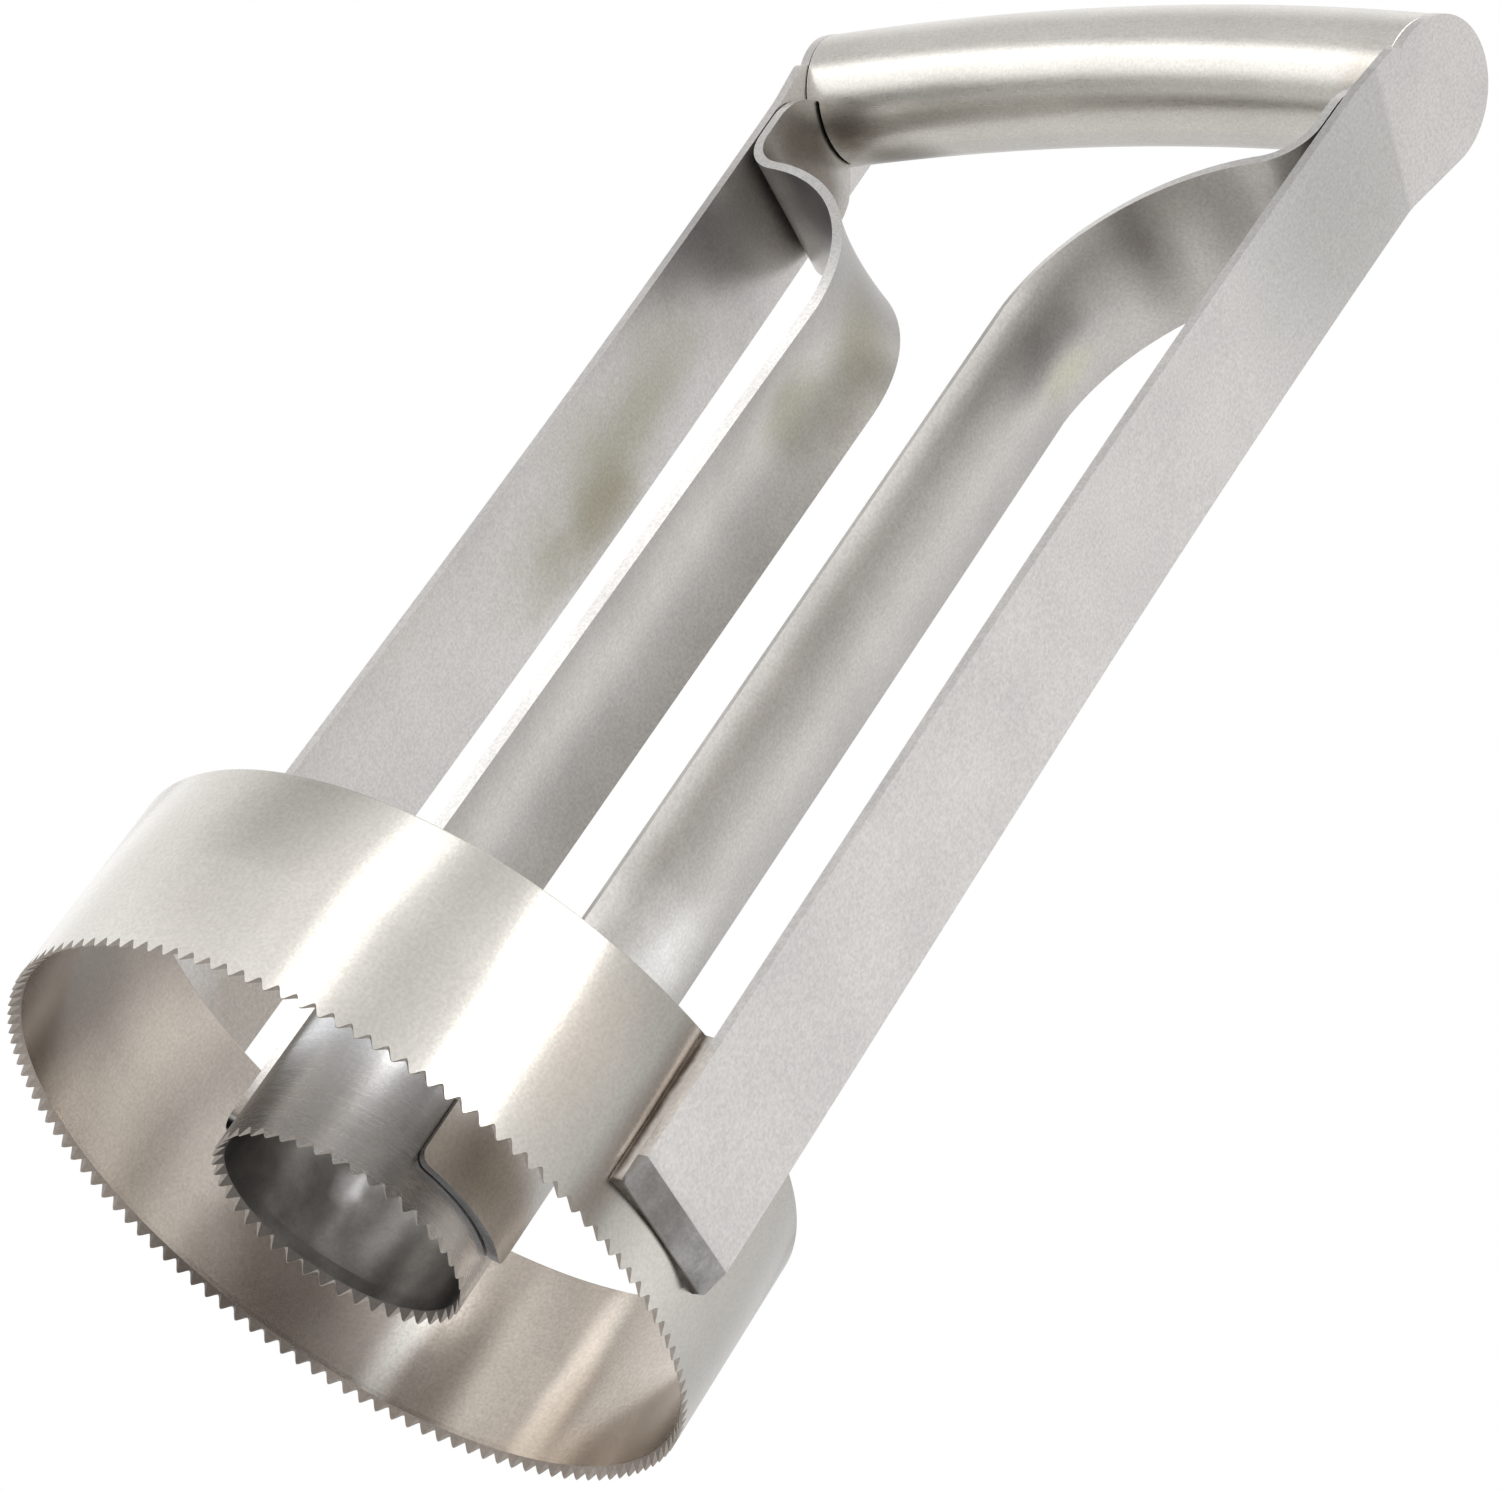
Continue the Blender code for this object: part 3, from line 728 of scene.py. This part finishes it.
def shoulderPath():
    # (x, z, tilt, share of the trough left) over the shoulder and the knee, and the height where they end
    turn = pi / 2 - radians(innerStrap["shoulderSlope"])
    big, small = innerStrap["shoulderRadius"], innerStrap["kneeRadius"]
    bendX, bendZ = innerRadius + big, innerStrap["shoulderHeight"]
    startX = bendX - big * cos(turn)
    startZ = bendZ + big * sin(turn)
    meet = startZ
    for _ in range(innerStrap["settleRounds"]):  # until the knee ends on the outer strap
        x, z, end = besideStrap(meet)
        run = (x - startX + small * (cos(turn) - cos(end))) / sin(turn)
        meet += startZ + run * cos(turn) + small * (sin(turn) - sin(end)) - z
    kneeX = startX + run * sin(turn) - small * cos(turn)
    kneeZ = startZ + run * cos(turn) + small * sin(turn)
    points = []
    steps = innerStrap["shoulderSteps"]
    for i in range(steps + 1):
        bend = turn * i / steps
        points.append((bendX - big * cos(bend), bendZ + big * sin(bend), bend, 1 - i / steps))
    steps = innerStrap["kneeSteps"]
    for i in range(1, steps + 1):
        bend = turn + (end - turn) * i / steps
        points.append((kneeX + small * cos(bend), kneeZ - small * sin(bend), bend, 0.0))
    return points, meet


def acrossTrough(x, z, tilt, half, curve):
    # a row of points across the strap, on an arc of the given curvature
    columns = innerStrap["columns"]
    row = []
    for i in range(columns + 1):
        along = half * (2 * i / columns - 1)
        turn = along * curve
        y = sin(turn) / curve if curve else along
        sag = (1 - cos(turn)) / curve if curve else 0.0
        row.append((x - sag * cos(tilt), y, z + sag * sin(tilt)))
    return row


def makeInnerStrap(sideName, side):
    trough = 1 / innerRadius
    kept = innerStrap["troughKept"]
    coreTop = coreRing["height"]
    fade = innerStrap["troughFade"]
    foot = roundedFoot(innerStrap["foot"], innerStrap["corner"])
    upright = [(height, half, trough) for height, half in foot]
    upright += [(height, halfWidth, trough) for height in innerStrap["footRows"]]
    for i in range(innerStrap["fadeSteps"] + 1):
        share = i / innerStrap["fadeSteps"]
        soft = share * share * (3 - 2 * share)  # starts and ends gently
        upright.append((coreTop + fade * share, halfWidth, trough * (1 - (1 - kept) * soft)))
    legFoot, legSteps = coreTop + fade, innerStrap["legSteps"]
    leg = innerStrap["shoulderHeight"] - legFoot
    upright += [(legFoot + leg * i / legSteps, halfWidth, trough * kept) for i in range(1, legSteps)]
    rows = [acrossTrough(innerRadius, height, 0.0, half, curve) for height, half, curve in upright]
    path, meet = shoulderPath()
    rows += [acrossTrough(x, z, tilt, halfWidth, trough * kept * left) for x, z, tilt, left in path]
    lapSteps, tongueSteps = innerStrap["lapSteps"], innerStrap["tongueSteps"]
    flat = [(meet + (tongueCentre - meet) * i / lapSteps, halfWidth) for i in range(1, lapSteps + 1)]
    for i in range(1, tongueSteps):
        turn = pi / 2 * i / tongueSteps
        flat.append((tongueCentre + halfWidth * sin(turn), halfWidth * cos(turn)))
    rows += [acrossTrough(*besideStrap(height), half, 0.0) for height, half in flat]
    bm = growSheet(rows, side)
    piece = finishPiece(f"innerStrap{sideName}Sheet", bm, innerSteels[sideName],
                        f"inner_strap_{sideName.lower()}", lambda co: (co.z + abs(co.x), co.y))
    lowest = min(piece.data.polygons, key=lambda p: p.center.z)
    if lowest.normal.x * side > 0:  # the sheet's first side faces the axis
        piece.data.flip_normals()
    wall = piece.modifiers.new("sheet", "SOLIDIFY")
    wall.thickness = sheet["thickness"]
    wall.offset = 0.0
    wall.material_offset = 1
    wall.material_offset_rim = 2
    roundEdges(piece, sheet["edge"])


cutEdgeSteel = brushedStainless("innerStrapCutEdge", cutEdgeFinish)
innerSteels = {
    "Left": [brushedStainless("innerStrapLeftAxisSide", leftAxisFinish),
             brushedStainless("innerStrapLeftOuterSide", leftOuterFinish), cutEdgeSteel],
    "Right": [brushedStainless("innerStrapRightAxisSide", innerFinish),
              brushedStainless("innerStrapRightOuterSide", rightOuterFinish), cutEdgeSteel],
}
for sideName, side in sides.items():
    makeInnerStrap(sideName, side)
print("inner straps made")


# Stage: a pale round floor that can't be seen from below, and a white surround

floor = {
    "radius": 450 * mm, "segments": 128, "colour": "#dedddb", "roughness": 0.7,
    "fadeFrom": 180 * mm, "fadeTo": 400 * mm, "glowFrom": 54 * mm, "glowTo": 62 * mm, "glow": 0.85,
}


def makeFloor():
    bm = bmesh.new()
    bmesh.ops.create_circle(bm, cap_ends=True, segments=floor["segments"], radius=floor["radius"])
    mesh = meshFrom(bm, "paleFloor")
    material, tree = newMaterial("paleFloorPaper")
    place = addNode(tree, "ShaderNodeTexCoord")
    distance = addNode(tree, "ShaderNodeVectorMath", {0: place.outputs["Object"]}, operation="LENGTH")
    fade = addNode(tree, "ShaderNodeMapRange", {
        "Value": distance.outputs["Value"], "From Min": floor["fadeFrom"], "From Max": floor["fadeTo"],
    }, interpolation_type="SMOOTHSTEP")
    light = addNode(tree, "ShaderNodeLightPath")
    seen = addNode(tree, "ShaderNodeMath", {
        0: fade.outputs["Result"], 1: light.outputs["Is Camera Ray"],
    }, operation="MULTIPLY")
    paper = addNode(tree, "ShaderNodeBsdfPrincipled", {
        "Base Color": hexColour(floor["colour"]), "Roughness": floor["roughness"],
    })
    white = addNode(tree, "ShaderNodeEmission", {"Color": (1, 1, 1, 1), "Strength": 1.0})
    shown = addNode(tree, "ShaderNodeMixShader", {
        0: seen.outputs["Value"], 1: paper.outputs["BSDF"], 2: white.outputs["Emission"],
    })
    # close round the ring the metal sees the white background instead of the floor's shadow
    near = addNode(tree, "ShaderNodeMapRange", {
        "Value": distance.outputs["Value"], "From Min": floor["glowFrom"], "From Max": floor["glowTo"],
        "To Min": floor["glow"], "To Max": 0.0,
    })
    mirrored = addNode(tree, "ShaderNodeMath", {
        0: near.outputs["Result"], 1: light.outputs["Is Glossy Ray"],
    }, operation="MULTIPLY")
    shown = addNode(tree, "ShaderNodeMixShader", {
        0: mirrored.outputs["Value"], 1: shown.outputs["Shader"], 2: white.outputs["Emission"],
    })
    clear = addNode(tree, "ShaderNodeBsdfTransparent")
    facing = addNode(tree, "ShaderNodeNewGeometry")
    oneSided = addNode(tree, "ShaderNodeMixShader", {
        0: facing.outputs["Backfacing"], 1: shown.outputs["Shader"], 2: clear.outputs["BSDF"],
    })
    addNode(tree, "ShaderNodeOutputMaterial", {"Surface": oneSided.outputs["Shader"]})
    mesh.materials.append(material)
    putInScene("paleFloor", mesh)


makeFloor()

# the white studio walls as the metal sees them: (azimuth, level) round the slicer and (elevation, share of
# that level) upwards, in degrees; "highest" is the level that the colour ramp's 1 stands for
walls = {
    "roundabout": (
        (-180, 1.14), (-160, 1.06), (-146, 0.80), (-133, 0.64), (-122, 0.72), (-112, 0.90), (-101, 1.20),
        (-70, 1.15), (-61, 0.92), (-53, 1.0), (-45, 1.20), (-14, 1.25), (-6, 0.98), (2, 0.88), (12, 0.70),
        (24, 0.60), (34, 0.86), (40, 1.0), (45, 1.15), (54, 1.12), (72, 0.84), (96, 0.70), (126, 0.76),
        (150, 1.15), (164, 1.28), (180, 1.14),
    ),
    "upwards": (
        (-90, 0.85), (-12, 0.85), (0, 0.92), (14, 0.80), (23, 1.0), (31, 1.0), (45, 0.86), (90, 0.94),
    ),
    "highest": 1.3, "diffuseLevel": 0.95,
}


def addLevels(tree, share, levels):
    ramp = addNode(tree, "ShaderNodeValToRGB", {"Fac": share})
    stops = ramp.color_ramp.elements
    stops.remove(stops[-1])
    for i, (position, level) in enumerate(levels):
        stop = stops[0] if i == 0 else stops.new(position)
        stop.position = position
        stop.color = (level, level, level, 1)
    return ramp.outputs["Color"]


def makeWorld():
    world = bpy.data.worlds.new("whiteStudio")
    bpy.context.scene.world = world
    world.use_nodes = True
    tree = world.node_tree
    tree.nodes.clear()
    place = addNode(tree, "ShaderNodeTexCoord")
    split = addNode(tree, "ShaderNodeSeparateXYZ", {0: place.outputs["Generated"]})
    angle = addNode(tree, "ShaderNodeMath", {
        0: split.outputs["Y"], 1: split.outputs["X"],
    }, operation="ARCTAN2")
    turnShare = addNode(tree, "ShaderNodeMapRange", {
        "Value": angle.outputs["Value"], "From Min": -pi, "From Max": pi,
    })
    levels = [((azimuth + 180) / 360, level / walls["highest"]) for azimuth, level in walls["roundabout"]]
    roundabout = addLevels(tree, turnShare.outputs["Result"], levels)
    rise = addNode(tree, "ShaderNodeMath", {0: split.outputs["Z"]}, operation="ARCSINE")
    riseShare = addNode(tree, "ShaderNodeMapRange", {
        "Value": rise.outputs["Value"], "From Min": -pi / 2, "From Max": pi / 2,
    })
    shares = [((elevation + 90) / 180, share) for elevation, share in walls["upwards"]]
    upwards = addLevels(tree, riseShare.outputs["Result"], shares)
    both = addNode(tree, "ShaderNodeVectorMath", {0: roundabout, 1: upwards}, operation="MULTIPLY")
    light = addNode(tree, "ShaderNodeLightPath")
    studio = addNode(tree, "ShaderNodeBackground", {
        "Color": both.outputs["Vector"], "Strength": walls["highest"],
    })
    plain = addNode(tree, "ShaderNodeBackground", {
        "Color": (1, 1, 1, 1), "Strength": walls["diffuseLevel"],
    })
    white = addNode(tree, "ShaderNodeBackground", {"Color": (1, 1, 1, 1), "Strength": 1.0})
    metalSees = addNode(tree, "ShaderNodeMixShader", {
        0: light.outputs["Is Glossy Ray"], 1: plain.outputs["Background"], 2: studio.outputs["Background"],
    })
    clearSight = addNode(tree, "ShaderNodeMath", {
        0: light.outputs["Is Camera Ray"], 1: light.outputs["Is Transmission Ray"],
    }, operation="MAXIMUM")
    shown = addNode(tree, "ShaderNodeMixShader", {
        0: clearSight.outputs["Value"], 1: metalSees.outputs["Shader"], 2: white.outputs["Background"],
    })
    addNode(tree, "ShaderNodeOutputWorld", {"Surface": shown.outputs["Shader"]})


makeWorld()

# soft boxes: azimuth and elevation in degrees as seen from the slicer, distance and size in metres
softBoxes = {
    "frontLeftStrip": {"azimuth": -82, "elevation": 30, "distance": 1.3, "size": (0.34, 0.9), "level": 1.15},
    "frontRightStrip": {"azimuth": -28, "elevation": 30, "distance": 1.3, "size": (0.46, 0.9), "level": 2.1},
    "lowLeftBox": {"azimuth": -128, "elevation": -7, "distance": 1.1, "size": (0.9, 0.6), "level": 1.35},
}
boxTarget = Vector((0, 0, 100 * mm))
# cards that only the metal sees, in millimetres and degrees: a dark one and a white one low on the left,
# for the tube's underside; a card fades out where it is seen at a slant
cards = {
    "darkCard": {"place": (-82, -65, 3), "size": (66, 270), "tip": 0, "turn": -38, "level": 0.02},
    "whiteCard": {"place": (-190, -243, 66), "size": (560, 130), "tip": 90, "turn": -38, "level": 1.4},
}
cardFade = {"From Min": 0.35, "From Max": 0.55}


def makeSoftBox(name, box):
    lamp = bpy.data.lights.new(name, "AREA")
    lamp.shape = "RECTANGLE"
    lamp.size, lamp.size_y = box["size"]
    lamp.energy = box["level"] * pi * box["size"][0] * box["size"][1]
    holder = putInScene(name, lamp)
    azimuth, elevation = radians(box["azimuth"]), radians(box["elevation"])
    out = Vector((cos(azimuth) * cos(elevation), sin(azimuth) * cos(elevation), sin(elevation)))
    holder.location = boxTarget + out * box["distance"]
    holder.rotation_euler = (-out).to_track_quat("-Z", "Y").to_euler()
    holder.visible_camera = False


def makeCard(name, card):
    bm = bmesh.new()
    bmesh.ops.create_grid(bm, x_segments=1, y_segments=1, size=mm / 2)  # one millimetre square
    bmesh.ops.scale(bm, verts=bm.verts, vec=(*card["size"], 1))
    for angle, axis in ((card["tip"], "X"), (card["turn"], "Z")):
        bmesh.ops.rotate(bm, verts=bm.verts, matrix=Matrix.Rotation(radians(angle), 3, axis))
    bmesh.ops.translate(bm, verts=bm.verts, vec=Vector(card["place"]) * mm)
    mesh = meshFrom(bm, name)
    material, tree = newMaterial(name + "Glow")
    glow = addNode(tree, "ShaderNodeEmission", {"Color": (1, 1, 1, 1), "Strength": card["level"]})
    slant = addNode(tree, "ShaderNodeLayerWeight", {"Blend": 0.5})
    faded = addNode(tree, "ShaderNodeMapRange", {"Value": slant.outputs["Facing"], **cardFade})
    clear = addNode(tree, "ShaderNodeBsdfTransparent")
    shown = addNode(tree, "ShaderNodeMixShader", {
        0: faded.outputs["Result"], 1: glow.outputs["Emission"], 2: clear.outputs["BSDF"],
    })
    addNode(tree, "ShaderNodeOutputMaterial", {"Surface": shown.outputs["Shader"]})
    mesh.materials.append(material)
    board = putInScene(name, mesh)
    board.visible_camera = False
    board.visible_diffuse = False
    board.visible_shadow = False


for cardName, card in cards.items():
    makeCard(cardName, card)
for boxName, box in softBoxes.items():
    makeSoftBox(boxName, box)
print("stage and lamps made")


# Camera, in the photograph's place: millimetres and degrees

camera = {
    "place": (347.97, -309.94, -187.77), "turn": (125.016, -29.026, 28.557),
    "lens": 106.194, "sensor": 36.0, "clip": (10, 20000),
}
lens = bpy.data.cameras.new("photoCamera")
lens.lens = camera["lens"]
lens.sensor_width = camera["sensor"]
lens.clip_start, lens.clip_end = [distance * mm for distance in camera["clip"]]
viewer = putInScene("photoCamera", lens)
viewer.location = Vector(camera["place"]) * mm
viewer.rotation_euler = [radians(a) for a in camera["turn"]]
bpy.context.scene.camera = viewer
bpy.context.scene.view_settings.view_transform = "Standard"
